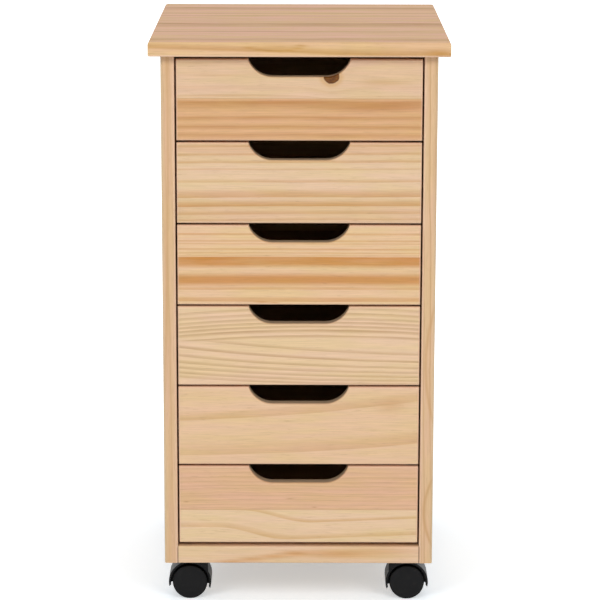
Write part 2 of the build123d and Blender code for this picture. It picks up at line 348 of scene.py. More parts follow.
def pine_figure(finish, place, figure, arches=0.0, knot_place=None):
    """The colour, relief and fibres of one pine board, with its rings, marks, tints, resin and knot."""
    seed = figure.seed
    along = finish.split(place)[0]
    grain = grain_lines(finish, place, figure, arches)
    if figure.knot:
        away, aside, inside, bend = round_knot(finish, knot_place or place, figure.knot)
        grain = finish.add(grain, finish.times(aside, bend, -KNOT_PUSH))
    rings = finish.times(year_rings(finish, grain, figure.ring, seed), figure.strength)
    if figure.bands:
        rings = finish.calc("MAXIMUM", rings, placed_bands(finish, grain, figure))
    faded = finish.span(finish.noise(place, FADE_SIZE, seed + 2), *USUAL_NOISE, figure.fade, FULL_RING)
    rings = finish.times(rings, faded, finish.span(along, -GAIN_REACH, GAIN_REACH, *figure.gain))
    colour = finish.mix(rings, figure.pale, figure.late)
    for middle, height, half_length, half_height, share in figure.marks:
        spot = finish.times(finish.bell(along, middle, half_length), finish.bell(grain, height, half_height))
        colour = finish.mix(finish.times(spot, share), colour, figure.late)
    blush = finish.span(finish.noise(place, BLUSH_SIZE, seed + 4), *NARROW_NOISE)
    yellow = tuple(1.0 + figure.hue * shift for shift in YELLOW_TINT)
    pink = tuple(1.0 + figure.hue * shift for shift in PINK_TINT)
    colour = finish.mix(1.0, colour, finish.mix(blush, yellow, pink), mode="MULTIPLY")
    streaks = finish.span(finish.noise(place, STREAK_SIZE, seed + 5), *STREAK_PEAKS)
    colour = finish.mix(finish.times(streaks, STREAK_SHARE), colour, RESIN)
    fibre = finish.noise(place, FIBRE_SIZE, seed + 3, detail=3.0)
    shade = finish.span(fibre, *USUAL_NOISE, *FIBRE_SHADE)
    grey = finish.node("ShaderNodeCombineColor", {0: shade, 1: shade, 2: shade}).outputs[0]
    colour = finish.mix(1.0, colour, grey, mode="MULTIPLY")
    relief = finish.add(
        finish.times(rings, RING_RELIEF),
        finish.times(fibre, FIBRE_RELIEF),
        finish.times(streaks, STREAK_RELIEF),
    )
    if figure.knot:
        halo = finish.times(finish.bell(away, HALO_RADIUS, HALO_WIDTH), HALO_SHARE)
        colour = finish.mix(halo, colour, KNOT_HALO)
        flecks = finish.span(finish.noise(place, KNOT_FLECKS, seed), *NARROW_NOISE)
        colour = finish.mix(inside, colour, finish.mix(flecks, KNOT_DARK, KNOT_LIGHT))
    return colour, relief, fibre


LACQUER_AMBER = (1.0, 0.97, 0.945)
LACQUER_ROUGHNESS = (0.38, 0.5)
LACQUER_RELIEF = 0.00012


def lacquer(finish, colour, relief, fibre, sheen=0.25):
    """Clear satin lacquer that warms the wood: a little smoother where the fibres lie close."""
    colour = finish.mix(1.0, colour, LACQUER_AMBER, mode="MULTIPLY")
    finish.cover(colour, finish.span(fibre, *WIDE_NOISE, *LACQUER_ROUGHNESS), relief, LACQUER_RELIEF)
    finish.shader.inputs["Specular IOR Level"].default_value = sheen


def wear(node, finish):
    """Puts a finish on a CAD node in place of its plain one."""
    piece = frame["nodes"][node]
    piece.data.materials.clear()
    piece.data.materials.append(finish.material)


SAME_POINT = 0.000005
SAME_FACE = math.radians(0.5)
SHARP_ARRIS = math.radians(35.0)


def soften(node, width, segments=2):
    """Rounds the sharp arrises of a CAD node, as sanding or moulding does."""
    piece = frame["nodes"][node]
    weld = piece.modifiers.new("joined faces", "WELD")
    weld.merge_threshold = SAME_POINT
    flat = piece.modifiers.new("whole faces", "DECIMATE")
    flat.decimate_type = "DISSOLVE"
    flat.angle_limit = SAME_FACE
    arris = piece.modifiers.new("rounded arrises", "BEVEL")
    arris.width = width
    arris.segments = segments
    arris.limit_method = "ANGLE"
    arris.angle_limit = SHARP_ARRIS
    arris.use_clamp_overlap = True
    normals = piece.modifiers.new("even shading", "WEIGHTED_NORMAL")
    normals.keep_sharp = False


WOOD_ARRIS = 0.0005
PANEL_THICKNESS = 15.0
PANEL_GRAIN = dict(ring=10.0, strength=0.8, wander=5.0, tilt=1.7)
DARKER_STAVE = (1.0, 0.92, 0.84)
STAVE_SHARE = 0.3
GLUE_SHARE = 0.25
FRONT_EDGE = (2.0, 3.0)
BOW_WIDTH = 1.8
# Painted highlight for the inner arris of a side panel's front edge, and painted shade for its outer arris.
INNER_ARRIS_HIGHLIGHT = (0.93, 0.7, 0.54)
INNER_HIGHLIGHT_WIDTH = 1.6
OUTER_ARRIS_SHADE = (0.63, 0.5, 0.33)
OUTER_SHADE_WIDTH = 2.4
PAINTED_ARRIS_SHARE = 0.6


def side_panel(side, outer_arris, figure, bows):
    """A panel of staves, with the bowed rings on its front edge, a painted highlight along its inner arris
    and painted shade along its outer arris.
    """
    panel = f"{side}_side_panel"
    finish = Finish(f"{panel}_pine")
    board = in_board(finish, panel, "zyx")
    place, arches, glue, luck = in_staves(finish, board, figure.seed)
    colour, relief, fibre = pine_figure(finish, place, figure, arches, knot_place=board)
    colour = finish.mix(finish.times(luck, STAVE_SHARE), colour, DARKER_STAVE, mode="MULTIPLY")
    colour = finish.mix(finish.times(glue, GLUE_SHARE), colour, RESIN)
    height, from_front, across_edge = finish.split(board)
    on_front = finish.span(from_front, *FRONT_EDGE, 1.0, 0.0)
    from_outer = finish.calc("ABSOLUTE", finish.add(across_edge, -outer_arris))
    for middle, half_length, depth, share in bows:
        away = finish.times(finish.add(height, -middle), 1 / half_length)
        bow = finish.bell(finish.add(from_outer, finish.times(away, away, depth)), depth, BOW_WIDTH)
        colour = finish.mix(finish.times(bow, on_front, share), colour, LATE_PINE)
    # Painted highlight along the inner arris, and painted shade along the outer arris, whose rounding faces
    # away from the lamps.
    inner_arris = PANEL_THICKNESS - outer_arris
    inner_highlight = finish.bell(across_edge, inner_arris, INNER_HIGHLIGHT_WIDTH)
    colour = finish.mix(finish.times(inner_highlight, on_front, PAINTED_ARRIS_SHARE), colour, INNER_ARRIS_HIGHLIGHT)
    outer_shade = finish.bell(across_edge, outer_arris, OUTER_SHADE_WIDTH)
    colour = finish.mix(finish.times(outer_shade, on_front, PAINTED_ARRIS_SHARE), colour, OUTER_ARRIS_SHADE)
    lacquer(finish, colour, relief, fibre)
    wear(panel, finish)
    soften(panel, WOOD_ARRIS)


side_panel(
    "left",
    outer_arris=0.0,
    figure=Figure(3, knot=(130.0, 258.0, 5.2), **PANEL_GRAIN),
    bows=[(210.0, 330.0, 7.5, 0.5), (-120.0, 260.0, 9.0, 0.2)],
)
side_panel(
    "right",
    outer_arris=PANEL_THICKNESS,
    figure=Figure(8, knot=(-62.0, 184.0, 6.0), **PANEL_GRAIN),
    bows=[(-60.0, 68.0, 10.0, 0.55), (-231.0, 40.0, 10.0, 0.65)],
)


# Bottom rails: two pine boards laid flat across the cart, front and rear, with a tenon on each end.
# They tie the side panels together and carry the casters, and the front one shows below the drawers.
# The dark line at each shoulder: dirt in the joint and painted shade where the rail meets the side panel.
JOINT_SHADE_AND_DIRT = (0.1, 0.04, 0.015)
JOINT_WIDTH = 1.0
JOINT_SHARE = 0.8


def pine_board(node, axes, figure, shoulder=None):
    """A single pine board, with a dark line of dirt and painted shade where its ends have shoulders."""
    finish = Finish(f"{node}_pine")
    place = in_board(finish, node, axes)
    colour, relief, fibre = pine_figure(finish, place, figure)
    if shoulder:
        # Dirt and painted shade along the joint at each shoulder.
        from_middle = finish.calc("ABSOLUTE", finish.split(place)[0])
        joint_shade_and_dirt = finish.span(from_middle, shoulder - JOINT_WIDTH, shoulder, 0.0, JOINT_SHARE)
        colour = finish.mix(joint_shade_and_dirt, colour, JOINT_SHADE_AND_DIRT)
    lacquer(finish, colour, relief, fibre)
    wear(node, finish)
    soften(node, WOOD_ARRIS)


front_rail_figure = Figure(
    12,
    pale=(0.8, 0.575, 0.37),
    late=(0.62, 0.3, 0.085),
    strength=0.14,
    tilt=0.3,
    wander=0.8,
    marks=[
        (-76.0, 1.5, 17.0, 2.2, 0.55),
        (-52.0, 4.5, 17.0, 2.4, 0.6),
        (-28.0, 8.0, 17.0, 2.6, 0.6),
        (-4.0, 11.5, 17.0, 2.8, 0.7),
        (45.0, 11.5, 45.0, 5.0, 0.66),
        (100.0, 15.0, 40.0, 6.0, 0.3),
    ],
)
rail_shoulder = MM_PER_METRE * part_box("right_side_panel")[0].x
pine_board("front_bottom_rail", "xzy", front_rail_figure, shoulder=rail_shoulder)
pine_board("rear_bottom_rail", "xzy", Figure(13, ring=7.0), shoulder=rail_shoulder)


# Back panel: thin plywood with a pale rotary-cut face, let into rebates in the side panels.
# It squares the case up, and small round-headed nails hold it to the sides and the rails.
PLY_FACE = (0.72, 0.53, 0.34)
PLY_LATE = (0.58, 0.38, 0.21)
PLY_CORE = (0.42, 0.27, 0.15)
PLY_HILLS = (420.0, 150.0, 60.0)
PLY_HILL_HEIGHT = 260.0
PLY_RING = 13.0
PLY_RING_SHARE = 0.5
PLY_FIBRE = (45.0, 1.2, 1.2)
PLY_FIBRE_SHARE = 0.25
PLY_PORES = (7.0, 0.5, 0.5)
PORE_PEAKS = (0.62, 0.72)
PORE_SHARE = 0.3
PORE_DEPTH = 0.7
CORE_STARTS = (0.3, 0.34)
CORE_SHARE = 0.7
PLY_ROUGHNESS = (0.5, 0.65)
PLY_RELIEF = 0.0001


def plywood(node, axes, thickness, seed):
    """Three-ply board: a broad rotary-cut figure on its faces, and a darker core along its edges."""
    finish = Finish(f"{node}_plywood")
    place = in_board(finish, node, axes)
    deep = finish.split(place)[2]
    hills = finish.noise(place, PLY_HILLS, seed, detail=1.0)
    rings = year_rings(finish, finish.times(hills, PLY_HILL_HEIGHT), PLY_RING, seed)
    fibre = finish.noise(place, PLY_FIBRE, seed + 1, detail=3.0)
    pores = finish.span(finish.noise(place, PLY_PORES, seed + 2), *PORE_PEAKS)
    colour = finish.mix(finish.times(rings, PLY_RING_SHARE), PLY_FACE, PLY_LATE)
    colour = finish.mix(finish.times(pores, PORE_SHARE), colour, PLY_CORE)
    colour = finish.mix(finish.span(fibre, *NARROW_NOISE, PLY_FIBRE_SHARE, 0.0), colour, PLY_LATE)
    from_face = finish.calc("PINGPONG", deep, thickness / 2)
    core_start, core_full = (thickness * share for share in CORE_STARTS)
    colour = finish.mix(finish.span(from_face, core_start, core_full, 0.0, CORE_SHARE), colour, PLY_CORE)
    relief = finish.add(fibre, finish.times(pores, -PORE_DEPTH))
    finish.cover(colour, finish.span(fibre, *WIDE_NOISE, *PLY_ROUGHNESS), relief, PLY_RELIEF)
    wear(node, finish)


BACK_THICKNESS = 4.0
plywood("back_panel", "zxy", BACK_THICKNESS, 21)

ZINC_DARK = (0.5, 0.51, 0.53)
ZINC_LIGHT = (0.66, 0.66, 0.65)
ZINC_PATCHES = (0.004, 0.004, 0.004)
ZINC_SCRATCHES = (0.012, 0.0003, 0.0006)
ZINC_ROUGHNESS = (0.26, 0.4)
SCRATCH_ROUGHNESS = 0.1
SCRATCH_RELIEF = 0.00001


def zinc(name, seed):
    """Zinc-plated steel: a bluish grey with a faint patchy sheen and fine scratches."""
    finish = Finish(name)
    patches = finish.noise(finish.place, ZINC_PATCHES, seed, detail=4.0)
    scratches = finish.noise(finish.place, ZINC_SCRATCHES, seed + 1)
    colour = finish.mix(patches, ZINC_DARK, ZINC_LIGHT)
    sheen = finish.span(patches, *WIDE_NOISE, *ZINC_ROUGHNESS)
    roughness = finish.add(sheen, finish.times(scratches, SCRATCH_ROUGHNESS))
    finish.cover(colour, roughness, scratches, SCRATCH_RELIEF)
    finish.shader.inputs["Metallic"].default_value = 1.0
    return finish


def turned_heads(name, places, outward, profile, sides, press=None):
    """Small turned heads, all in one mesh: a profile of radius and height, spun at each place."""
    mesh = bmesh.new()
    turn = Vector((0, 0, 1)).rotation_difference(Vector(outward)).to_matrix().to_4x4()
    for place in places:
        rows = []
        for radius, height in profile:
            row = []
            for step in range(sides):
                angle = math.tau * step / sides
                spot = Vector((radius * math.cos(angle), radius * math.sin(angle), height))
                if press:
                    spot.z -= press(spot.x, spot.y)
                row.append(mesh.verts.new(Matrix.Translation(place) @ turn @ spot))
            rows.append(row)
        for outer, inner in zip(rows, rows[1:]):
            for step in range(sides):
                after = (step + 1) % sides
                mesh.faces.new((outer[step], outer[after], inner[after], inner[step]))
        mesh.faces.new(rows[-1])
        mesh.faces.new(reversed(rows[0]))
    data = bpy.data.meshes.new(name)
    mesh.normal_update()
    mesh.to_mesh(data)
    mesh.free()
    for polygon in data.polygons:
        polygon.use_smooth = True
    piece = bpy.data.objects.new(name, data)
    bpy.context.scene.collection.objects.link(piece)
    return piece


NAIL_HEAD_RADIUS = 0.0024
NAIL_HEAD_HEIGHT = 0.0008
NAIL_SHARES = [(1.0, 0.0), (1.0, 0.45), (0.85, 0.8), (0.5, 1.0)]
NAIL_SIDES = 20
NAIL_INSET = 0.004
SIDE_NAILS = 6
RAIL_NAILS = 3
RAIL_NAIL_STEP = 0.085
RAIL_NAIL_HEIGHT = 0.01
back_low, back_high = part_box("back_panel")
nail_places = []
for step in range(SIDE_NAILS):
    share = (step + 0.5) / SIDE_NAILS
    height = back_low.z + share * (back_high.z - back_low.z)
    for edge in (back_low.x + NAIL_INSET, back_high.x - NAIL_INSET):
        nail_places.append(Vector((edge, back_high.y, height)))
for step in range(RAIL_NAILS):
    across = (step - (RAIL_NAILS - 1) / 2) * RAIL_NAIL_STEP
    nail_places.append(Vector((across, back_high.y, back_low.z + RAIL_NAIL_HEIGHT)))
nail_profile = [(NAIL_HEAD_RADIUS * wide, NAIL_HEAD_HEIGHT * high) for wide, high in NAIL_SHARES]
nails = turned_heads("back_panel_nails", nail_places, (0, 1, 0), nail_profile, NAIL_SIDES)
nails.data.materials.append(zinc("nail_zinc", 4).material)
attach(nails, "cabinet")


# Top panel: pine staves glued up into one board that overhangs the case on all four sides.
# A round is run along the front and side edges, and it is housed over the side panels. Its front
# edge shows the flat-sawn side of the first stave, which is lighter and yellower than the quarter-sawn top.
top_finish = Finish("top_panel_pine")
top_place = in_board(top_finish, "top_panel", "xyz")
top_figure = Figure(
    5,
    pale=(0.74, 0.47, 0.28),
    late=(0.42, 0.205, 0.058),
    bands=[
        (8.0, 16.0, 0.4),
        (54.0, 24.0, 0.7),
        (76.0, 70.0, 0.35),
        (92.0, 88.0, 0.5),
        (112.0, 102.0, 0.75),
        (126.0, 120.0, 0.4),
        (142.0, 188.0, 0.9),
        (198.0, 194.0, 0.4),
        (214.0, 206.0, 0.45),
        (232.0, 226.0, 0.4),
        (246.0, 238.0, 0.5),
        (272.0, 260.0, 0.6),
        (300.0, 290.0, 0.7),
        (318.0, 356.0, 0.8),
        (372.0, 394.0, 0.5),
    ],
    reach=400.0,
    edge=3.0,
    ring=9.0,
    strength=0.5,
    wander=3.0,
    tilt=0.3,
    fade=0.5,
    hue=2.4,
)
top_colour, top_relief, top_fibre = pine_figure(top_finish, top_place, top_figure)

EYE_MARK = (7.0, 1.3, 0.7)
eye_outline = [(-55.0, 8.4), (-44.0, 6.7), (-33.5, 5.5), (-22.5, 5.4), (-11.0, 6.7), (-2.0, 9.4), (2.0, 12.4)]
nosing_place = in_board(top_finish, "top_panel", "xzy")
nosing_figure = Figure(
    6,
    pale=(0.785, 0.53, 0.296),
    late=(0.57, 0.31, 0.098),
    bands=[(11.5, 5.6, 0.7)],
    edge=2.5,
    lean=0.029,
    ring=5.0,
    strength=0.25,
    marks=[
        (152.0, 8.0, 16.0, 5.0, 0.9),
        (80.0, 4.0, 60.0, 2.0, 0.6),
        (115.0, 9.5, 40.0, 4.0, 0.3),
        (-24.0, 10.0, 22.0, 3.5, 0.35),
        *((middle, height, *EYE_MARK) for middle, height in eye_outline),
    ],
)
nosing_colour, nosing_relief, _ = pine_figure(top_finish, nosing_place, nosing_figure)

NOSING_DEPTH = 2.2
NOSING_BLEND = 0.8
# Painted highlight on the nosing's lower arris, where its round catches the light above the gap.
LOWER_ARRIS_HIGHLIGHT = (0.84, 0.59, 0.43)
LOWER_HIGHLIGHT_HEIGHTS = (0.8, 2.6)
LOWER_HIGHLIGHT_SHARE = 0.7
TOP_SHEEN = 0.06
nosing_height = top_finish.split(nosing_place)[1]
# Painted highlight along the nosing's lower arris.
lower_arris_highlight = top_finish.span(nosing_height, *LOWER_HIGHLIGHT_HEIGHTS, LOWER_HIGHLIGHT_SHARE, 0.0)
nosing_colour = top_finish.mix(lower_arris_highlight, nosing_colour, LOWER_ARRIS_HIGHLIGHT)
from_front = top_finish.split(top_place)[1]
on_nosing = top_finish.span(from_front, NOSING_DEPTH - NOSING_BLEND, NOSING_DEPTH + NOSING_BLEND, 1.0, 0.0)
top_colour = top_finish.mix(on_nosing, top_colour, nosing_colour)
top_relief = top_finish.span(on_nosing, 0.0, 1.0, top_relief, nosing_relief)
lacquer(top_finish, top_colour, top_relief, top_fibre, sheen=TOP_SHEEN)
wear("top_panel", top_finish)
soften("top_panel", WOOD_ARRIS)


# Drawer runners: hardwood strips glued into grooves in the side panels, six on each side.
# They are left bare and waxed, so that the drawers' grooves slide along them.
BEECH_DARK = (0.5, 0.3, 0.17)
BEECH_LIGHT = (0.66, 0.44, 0.28)
BEECH_FLECK = (0.3, 0.15, 0.07)
BEECH_GRAIN = (60.0, 1.6, 1.6)
FLECK_SIZE = (3.2, 0.45, 0.45)
FLECK_PEAKS = (0.64, 0.72)
FLECK_SHARE = 0.55
FLECK_DEPTH = 0.5
BEECH_ROUGHNESS = (0.34, 0.46)
BEECH_RELIEF = 0.00008


def beech(node, seed):
    """Bare beech: fine straight grain with small dark flecks."""
    finish = Finish(f"{node}_beech")
    place = in_board(finish, node, "yzx")
    grain = finish.noise(place, BEECH_GRAIN, seed, detail=3.0)
    flecks = finish.span(finish.noise(place, FLECK_SIZE, seed + 1), *FLECK_PEAKS)
    colour = finish.mix(finish.span(grain, *USUAL_NOISE), BEECH_DARK, BEECH_LIGHT)
    colour = finish.mix(finish.times(flecks, FLECK_SHARE), colour, BEECH_FLECK)
    relief = finish.add(grain, finish.times(flecks, -FLECK_DEPTH))
    finish.cover(colour, finish.span(grain, *WIDE_NOISE, *BEECH_ROUGHNESS), relief, BEECH_RELIEF)
    wear(node, finish)


beech("left_drawer_runners", 31)
beech("right_drawer_runners", 32)


# Drawer fronts: solid pine, with a finger cut-out sawn in the middle of the upper edge.
# Each is cut from another board, and two are glued up from a pale and a darker one.
front_low, front_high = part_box("drawer_1_front")
FRONT_HALF_WIDTH = MM_PER_METRE * (front_high.x - front_low.x) / 2
FRONT_HEIGHT = MM_PER_METRE * (front_high.z - front_low.z)
SEAM_BLEND = 0.3
SEAM_LINE = 0.5
SEAM_GLUE = (0.45, 0.25, 0.1)
# Painted highlight along a front's edges, where its rounded arrises catch the light.
EDGE_HIGHLIGHT_PINE = (0.83, 0.57, 0.42)
EDGE_HIGHLIGHT_BORDER = (0.5, 2.2)
EDGE_HIGHLIGHT_SHARE = 0.55
# The cut-out's darker faces: the sawn wood's own tone and painted shade, where the lip lies under the drawer
# above.
SAWN_PINE_AND_SHADE = (0.42, 0.31, 0.205)
SAWN_BEHIND = (2.5, 4.5)
CUT_OUT_DEPTH = 19.5
CUT_OUT_REACH = 60.0
CUT_OUT_BLEND = 2.0
BELOW_CUT_FLOOR = (0.6, 0.2)
BELOW_FRONT_TOP = (0.8, 0.3)


def pine_front(number, figure, upper=None, seam=None, glue=0.35):
    """A drawer front in one figure, or in two that meet at a seam, with a painted highlight along its edges
    and a cut-out darkened by sawn wood and painted shade.
    """
    node = f"drawer_{number}_front"
    finish = Finish(f"{node}_pine")
    place = in_board(finish, node, "xzy")
    along, height, deep = finish.split(place)
    colour, relief, fibre = pine_figure(finish, place, figure)
    if upper:
        upper_colour, upper_relief, _ = pine_figure(finish, place, upper)
        above = finish.span(height, seam - SEAM_BLEND, seam + SEAM_BLEND)
        colour = finish.mix(above, colour, upper_colour)
        colour = finish.mix(finish.times(finish.bell(height, seam, SEAM_LINE), glue), colour, SEAM_GLUE)
        relief = finish.span(above, 0.0, 1.0, relief, upper_relief)
    from_middle = finish.calc("ABSOLUTE", along)
    # Painted highlight along the four edges of the front.
    from_side = finish.add(FRONT_HALF_WIDTH, finish.times(from_middle, -1.0))
    from_end = finish.calc("PINGPONG", height, FRONT_HEIGHT / 2)
    from_border = finish.calc("MINIMUM", from_side, from_end)
    colour = finish.mix(finish.span(from_border, *EDGE_HIGHLIGHT_BORDER, EDGE_HIGHLIGHT_SHARE, 0.0), colour, EDGE_HIGHLIGHT_PINE)
    # Sawn wood and painted shade on the cut-out's faces, behind the front's rounded edge.
    floor_levels = (FRONT_HEIGHT - CUT_OUT_DEPTH - below for below in BELOW_CUT_FLOOR)
    top_levels = (FRONT_HEIGHT - below for below in BELOW_FRONT_TOP)
    in_cut = finish.times(
        finish.span(deep, *SAWN_BEHIND),
        finish.span(from_middle, CUT_OUT_REACH - CUT_OUT_BLEND, CUT_OUT_REACH, 1.0, 0.0),
        finish.span(height, *floor_levels),
        finish.span(height, *top_levels, 1.0, 0.0),
    )
    colour = finish.mix(in_cut, colour, SAWN_PINE_AND_SHADE)
    lacquer(finish, colour, relief, fibre)
    wear(node, finish)
    soften(node, WOOD_ARRIS)


pine_front(
    1,
    Figure(
        41,
        pale=(0.72, 0.435, 0.225),
        late=(0.505, 0.238, 0.074),
        bands=[(2.5, 6.3, 0.6), (11.5, 15.6, 0.7), (21.5, 26.0, 0.7), (33.0, 43.0, 0.75)],
        edge=2.5,
        ring=3.4,
        strength=0.4,
        marks=[(85.0, 37.5, 60.0, 5.0, 0.7), (-20.0, 42.0, 50.0, 2.0, 0.6)],
    ),
    upper=Figure(
        42,
        pale=(0.75, 0.53, 0.335),
        late=(0.6, 0.35, 0.17),
        ring=11.0,
        strength=0.3,
        knot=(35.0, 70.6, 7.4),
        marks=[(92.0, 65.0, 30.0, 3.4, 0.55), (-80.0, 50.5, 50.0, 1.0, 0.5), (-90.0, 72.0, 25.0, 1.0, 0.35)],
    ),
    seam=46.6,
)
pine_front(
    2,
    Figure(
        43,
        pale=(0.775, 0.563, 0.355),
        late=(0.585, 0.3, 0.108),
        bands=[
            (6.5, 3.6, 0.5),
            (15.0, 10.8, 0.6),
            (26.5, 19.5, 0.9),
            (39.0, 29.7, 0.75),
            (50.0, 46.4, 0.5),
            (62.5, 60.3, 0.45),
            (71.5, 68.2, 0.65),
            (79.5, 76.8, 0.6),
            (89.0, 85.8, 0.6),
        ],
        lean=-0.006,
        ring=4.0,
        strength=0.14,
        tilt=0.4,
        wander=1.1,
        marks=[(0.0, 12.0, 500.0, 17.0, 0.2), (0.0, 84.0, 500.0, 9.0, 0.3)],
    ),
)
pine_front(
    3,
    Figure(
        44,
        pale=(0.792, 0.553, 0.322),
        late=(0.57, 0.245, 0.055),
        bands=[
            (9.5, 4.0, 0.55),
            (20.5, 17.5, 0.45),
            (41.0, 54.1, 1.0),
            (55.0, 56.4, 0.35),
            (57.8, 59.2, 0.4),
            (61.8, 63.6, 0.5),
            (68.0, 69.6, 0.35),
            (71.0, 72.9, 0.45),
            (78.4, 80.6, 0.5),
        ],
        body=0.85,
        ring=4.0,
        strength=0.12,
        wander=0.9,
        tilt=0.4,
        marks=[
            (0.0, 30.6, 900.0, 4.6, 0.75),
            (0.0, 26.4, 900.0, 4.6, 0.75),
            (-41.0, 3.2, 8.0, 0.6, 0.8),
            (-27.0, 2.4, 5.0, 0.5, 0.7),
        ],
    ),
)
HEART_PINE = dict(
    pale=(0.8, 0.58, 0.362),
    late=(0.53, 0.325, 0.162),
    ring=5.0,
    strength=0.08,
    wander=0.6,
    tilt=0.2,
)
pine_front(
    4,
    Figure(
        45,
        bands=[
            (5.3, 2.4, 0.55),
            (9.3, 6.4, 0.6),
            (14.3, 11.4, 0.65),
            (19.8, 16.8, 0.65),
            (26.2, 23.2, 0.7),
            (34.4, 31.4, 0.8),
            (44.3, 41.1, 0.6),
        ],
        fan=0.0011,
        lean=0.0246,
        bow=-0.000123,
        **HEART_PINE,
    ),
    upper=Figure(
        45,
        bands=[
            (54.1, 57.0, 0.8),
            (60.1, 63.5, 0.85),
            (65.1, 68.0, 0.75),
            (69.5, 72.5, 0.7),
            (73.9, 77.1, 0.6),
            (79.3, 82.7, 0.65),
            (85.3, 88.7, 0.55),
        ],
        lean=-0.0139,
        bow=0.000272,
        **HEART_PINE,
    ),
    seam=50.4,
    glue=0.0,
)
PLAIN_PINE = dict(pale=(0.79, 0.55, 0.332), late=(0.62, 0.36, 0.17), ring=24.0, strength=0.1, tilt=0.3)
pine_front(
    5,
    Figure(46, bands=[(31.0, 14.8, 0.6)], lean=-0.054, bow=-0.0002, gain=(0.7, 1.1), **PLAIN_PINE),
    upper=Figure(
        46,
        bands=[(70.1, 58.9, 0.6)],
        lean=-0.0875,
        bow=-0.000227,
        marks=[(103.0, 58.0, 16.0, 8.0, 0.5)],
        **PLAIN_PINE,
    ),
    seam=38.0,
    glue=0.0,
)
pine_front(
    6,
    Figure(
        47,
        pale=(0.81, 0.595, 0.37),
        late=(0.63, 0.378, 0.146),
        bands=[(25.0, 19.0, 0.65), (43.0, 39.3, 0.7)],
        drop=(14.8, -120.4, -15.4, 1.3, 0.042),
        ring=20.0,
        strength=0.1,
        tilt=0.3,
        wander=0.8,
    ),
    upper=Figure(
        48,
        pale=(0.755, 0.48, 0.29),
        late=(0.54, 0.3, 0.15),
        ring=4.6,
        strength=0.5,
        wander=2.6,
        marks=[(-127.0, 48.5, 3.0, 0.7, 0.9), (-10.0, 51.0, 4.0, 0.6, 0.8), (18.0, 42.0, 3.0, 0.6, 0.8)],
    ),
    seam=39.0,
)


# Drawer boxes: pine sides and backs, planed thinner than the front, with plywood bottoms.
# The sides sit in rebates in the front, and each has a groove outside that rides on its runner.
BOX_PINE = dict(pale=(0.8, 0.58, 0.37), late=(0.66, 0.4, 0.19), wander=3.0)
BOTTOM_THICKNESS = 3.0
DRAWERS = 6
BOX_SEED = 60
SEEDS_PER_BOX = 4
for drawer in range(1, DRAWERS + 1):
    first_seed = BOX_SEED + SEEDS_PER_BOX * drawer
    for offset, side in enumerate(("left", "right")):
        side_figure = Figure(first_seed + offset, ring=6.5, **BOX_PINE)
        pine_board(f"drawer_{drawer}_{side}_side", "yzx", side_figure)
    pine_board(f"drawer_{drawer}_back", "xzy", Figure(first_seed + 2, **BOX_PINE))
    plywood(f"drawer_{drawer}_bottom", "xyz", BOTTOM_THICKNESS, first_seed + 3)


# Caster plates and kingpins: pressed steel squares under the rails, each with a riveted pin.
# They are zinc plated, and four pan-head screws hold each plate to its rail.
PLATE_ARRIS = 0.0004
plate_zinc = zinc("plate_zinc", 6)
for node in ("caster_plates", "caster_kingpins"):
    wear(node, plate_zinc)
soften("caster_plates", PLATE_ARRIS)

SCREW_HEAD_RADIUS = 0.0027
SCREW_HEAD_HEIGHT = 0.0016
SCREW_RIM_SHARE = 0.35
SCREW_FULLNESS = 0.7
SCREW_ROWS = 15
SCREW_SIDES = 48
SCREW_REACH = 0.0148
SLOT_HALF_WIDTH = 0.00045
SLOT_LENGTH = 0.0016
SLOT_DEPTH = 0.0007


def cross_slot(x, y):
    """Depth of the driver's cross at a point of a screw's head."""
    narrow, wide = sorted((abs(x), abs(y)))
    inside = narrow < SLOT_HALF_WIDTH and wide < SLOT_LENGTH
    return SLOT_DEPTH if inside else 0.0


screw_profile = [(SCREW_HEAD_RADIUS, 0.0), (SCREW_HEAD_RADIUS, SCREW_RIM_SHARE * SCREW_HEAD_HEIGHT)]
for step in range(1, SCREW_ROWS):
    share = 1 - step / SCREW_ROWS
    dome = math.sqrt(1 - share**2) ** SCREW_FULLNESS
    height = SCREW_RIM_SHARE + (1 - SCREW_RIM_SHARE) * dome
    screw_profile.append((share * SCREW_HEAD_RADIUS, height * SCREW_HEAD_HEIGHT))
pivots = {joint["name"]: Vector(joint["pos_m"]) for joint in frame["joints"] if "pos_m" in joint}
plate_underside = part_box("caster_plates")[0].z
screw_places = []
for joint, pivot in pivots.items():
    if joint.endswith("_swivel"):
        for x in (-SCREW_REACH, SCREW_REACH):
            for y in (-SCREW_REACH, SCREW_REACH):
                screw_places.append(Vector((pivot.x + x, pivot.y + y, plate_underside)))
screws = turned_heads("caster_plate_screws", screw_places, (0, 0, -1), screw_profile, SCREW_SIDES, cross_slot)
screws.data.materials.append(zinc("screw_zinc", 7).material)
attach(screws, "cabinet")


# Casters: moulded black nylon hoods over pairs of wheels, with a steel axle pressed through each hood.
# The mouldings have a fine spark-eroded grain, and the wheels are a little glossier than the hoods.
NYLON_DARK = (0.0045, 0.0042, 0.0045)
NYLON_LIGHT = (0.0078, 0.0074, 0.0078)
NYLON_DUST = (0.12, 0.11, 0.1)
NYLON_SHEEN = 0.15
SPARK_GRAIN = (0.00035, 0.00035, 0.00035)
FLOW_SIZE = (0.02, 0.02, 0.02)
DUST_SIZE = (0.006, 0.006, 0.006)
DUST_PEAKS = (0.5, 0.9)
DUST_SHARE = 0.08
DUST_ROUGHNESS = 0.1
FLOW_ROUGHNESS = 0.05
RIM_GROOVE = 0.0176
RIM_GROOVE_WIDTH = 0.0005
RIM_GROOVE_DEPTH = 20.0
RIM_BLACK = (0.003, 0.003, 0.003)


